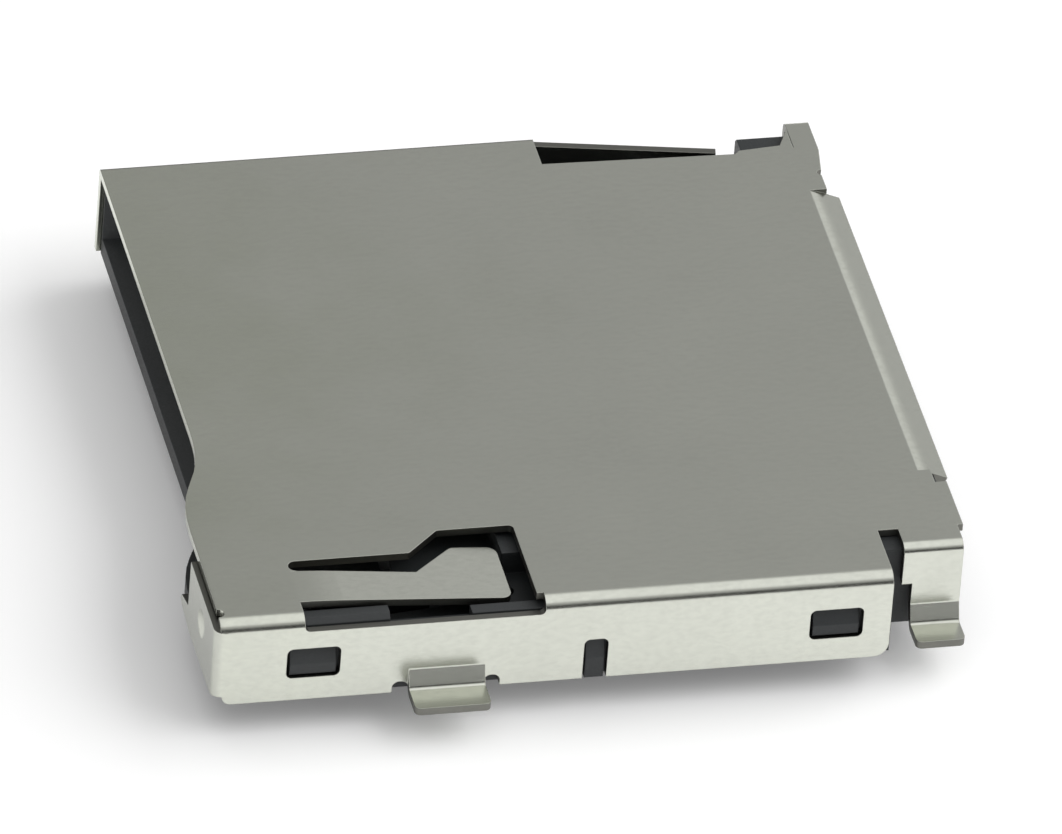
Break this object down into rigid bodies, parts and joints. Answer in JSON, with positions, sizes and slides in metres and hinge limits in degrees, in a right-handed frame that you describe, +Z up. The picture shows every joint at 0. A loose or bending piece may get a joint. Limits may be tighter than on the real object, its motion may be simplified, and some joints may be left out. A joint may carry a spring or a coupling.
{
  "type": "micro sd card socket",
  "caption": "Push-push micro memory card socket with a folded steel cover, moulded housing, spring contacts, slider, return spring and cam pin.",
  "frame": {"origin": "on the board plane (underside of the housing), in the middle of the width, 7.0 mm behind the front of the cover", "axes": "+X towards the slider's side, +Y the way the card goes in, +Z up away from the board"},
  "size_m": [0.0162, 0.0151, 0.0026],
  "materials": {
    "steel": "satin stamped stainless spring steel",
    "housing": "matte black glass-filled liquid crystal polymer",
    "slider": "matte black moulded plastic",
    "contact": "tin plated tail, plated copper alloy",
    "wire": "bright spring wire"
  },
  "bodies": {
    "housing": {"shell_cover": "steel", "housing_base": "housing", "contact_1": "contact", "contact_2": "contact", "contact_3": "contact", "contact_4": "contact", "contact_5": "contact", "contact_6": "contact", "contact_7": "contact", "contact_8": "contact", "contact_detect": "contact", "coil_spring": "wire"},
    "slider": {"slider": "slider"},
    "cam_pin": {"cam_pin": "wire"}
  },
  "joints": [
    {"name": "slider_slide", "type": "slide", "parent": "housing", "child": "slider", "axis": [0, 1, 0], "range_m": [0, 0.004], "stiffness_N_per_m": 2, "deforming": ["coil_spring"]},
    {"name": "cam_pin_swing", "type": "hinge", "parent": "housing", "child": "cam_pin", "pos_m": [0.00595, -0.00645, 0.0009], "axis": [0, 0, 1], "range_deg": [0, 5.5]}
  ],
  "couplings": [
    {"joint": "cam_pin_swing", "follows": "slider_slide", "rad_per_m": 23.85}
  ]
}
